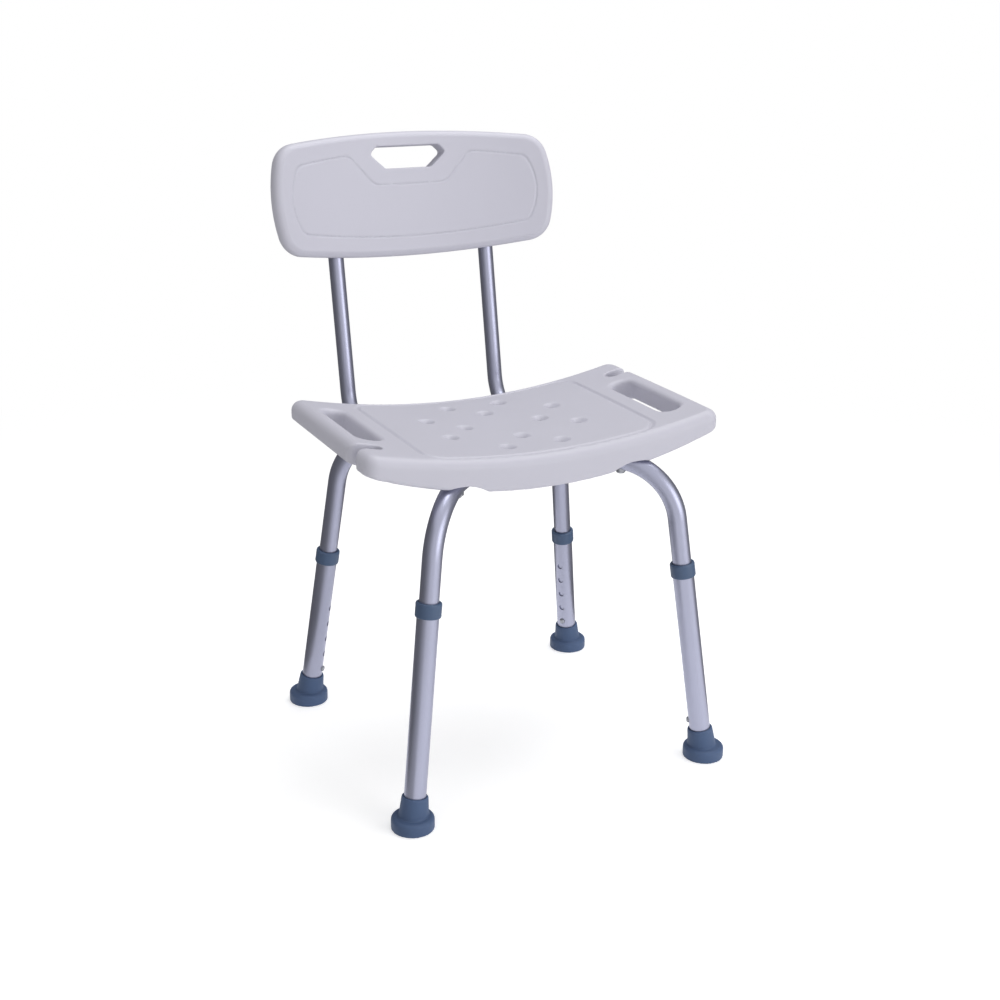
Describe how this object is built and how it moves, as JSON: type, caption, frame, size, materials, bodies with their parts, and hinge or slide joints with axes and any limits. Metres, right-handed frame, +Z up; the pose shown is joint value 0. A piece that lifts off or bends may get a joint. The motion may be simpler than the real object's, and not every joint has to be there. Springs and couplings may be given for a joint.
{
  "type": "shower chair",
  "caption": "Shower stool with a curved backrest: dished drained seat with grip slots on a crossed tube frame, telescoping legs with snap buttons and rubber feet.",
  "frame": {"origin": "on the floor, at the middle of the whole chair's bounding box, with the legs at their lowest setting", "axes": "+X to the right seen from the front, -Y to the front, +Y to the backrest, +Z up"},
  "size_m": [0.508, 0.5754, 0.8083],
  "materials": {
    "moulded_plastic": "fine satin grain",
    "anodised_tube": "satin anodised",
    "slate_plastic": "satin moulded",
    "slate_rubber": "smooth rubber",
    "brass": "machined",
    "plated_steel": "zinc plated"
  },
  "bodies": {
    "chair_frame": {"back_tube_front_plugs": "slate_plastic", "back_tube_left": "anodised_tube", "back_tube_right": "anodised_tube", "back_tube_spacers": "slate_plastic", "back_tube_top_plugs": "slate_plastic", "backrest_inserts": "brass", "backrest_panel": "moulded_plastic", "backrest_screws": "plated_steel", "cross_tube_lower": "anodised_tube", "cross_tube_upper": "anodised_tube", "seat_bolts": "plated_steel", "seat_inserts": "brass", "seat_panel": "moulded_plastic", "seat_washers": "plated_steel", "snap_spring_front_left": "plated_steel", "snap_spring_front_right": "plated_steel", "snap_spring_rear_left": "plated_steel", "snap_spring_rear_right": "plated_steel"},
    "leg_front_left": {"leg_tube_front_left": "anodised_tube", "leg_collar_front_left": "slate_plastic", "rubber_foot_front_left": "slate_rubber", "foot_washer_front_left": "plated_steel"},
    "button_front_left": {"snap_button_front_left": "plated_steel"},
    "leg_front_right": {"leg_tube_front_right": "anodised_tube", "leg_collar_front_right": "slate_plastic", "rubber_foot_front_right": "slate_rubber", "foot_washer_front_right": "plated_steel"},
    "button_front_right": {"snap_button_front_right": "plated_steel"},
    "leg_rear_left": {"leg_tube_rear_left": "anodised_tube", "leg_collar_rear_left": "slate_plastic", "rubber_foot_rear_left": "slate_rubber", "foot_washer_rear_left": "plated_steel"},
    "button_rear_left": {"snap_button_rear_left": "plated_steel"},
    "leg_rear_right": {"leg_tube_rear_right": "anodised_tube", "leg_collar_rear_right": "slate_plastic", "rubber_foot_rear_right": "slate_rubber", "foot_washer_rear_right": "plated_steel"},
    "button_rear_right": {"snap_button_rear_right": "plated_steel"}
  },
  "joints": [
    {"name": "leg_front_left_height", "type": "slide", "parent": "chair_frame", "child": "leg_front_left", "axis": [-0.12, -0.0899, -0.9887], "range_m": [0, 0.1], "deforming": ["snap_button_front_left", "snap_spring_front_left"]},
    {"name": "button_front_left_press", "type": "slide", "parent": "chair_frame", "child": "button_front_left", "axis": [-0.7915, -0.5925, 0.15], "range_m": [0, 0.0045], "stiffness_N_per_m": 1500, "springref_m": -0.002},
    {"name": "leg_front_right_height", "type": "slide", "parent": "chair_frame", "child": "leg_front_right", "axis": [0.12, -0.0899, -0.9887], "range_m": [0, 0.1], "deforming": ["snap_button_front_right", "snap_spring_front_right"]},
    {"name": "button_front_right_press", "type": "slide", "parent": "chair_frame", "child": "button_front_right", "axis": [0.7915, -0.5925, 0.15], "range_m": [0, 0.0045], "stiffness_N_per_m": 1500, "springref_m": -0.002},
    {"name": "leg_rear_left_height", "type": "slide", "parent": "chair_frame", "child": "leg_rear_left", "axis": [-0.12, 0.0899, -0.9887], "range_m": [0, 0.1], "deforming": ["snap_button_rear_left", "snap_spring_rear_left"]},
    {"name": "button_rear_left_press", "type": "slide", "parent": "chair_frame", "child": "button_rear_left", "axis": [-0.7915, 0.5925, 0.15], "range_m": [0, 0.0045], "stiffness_N_per_m": 1500, "springref_m": -0.002},
    {"name": "leg_rear_right_height", "type": "slide", "parent": "chair_frame", "child": "leg_rear_right", "axis": [0.12, 0.0899, -0.9887], "range_m": [0, 0.1], "deforming": ["snap_button_rear_right", "snap_spring_rear_right"]},
    {"name": "button_rear_right_press", "type": "slide", "parent": "chair_frame", "child": "button_rear_right", "axis": [0.7915, 0.5925, 0.15], "range_m": [0, 0.0045], "stiffness_N_per_m": 1500, "springref_m": -0.002}
  ]
}
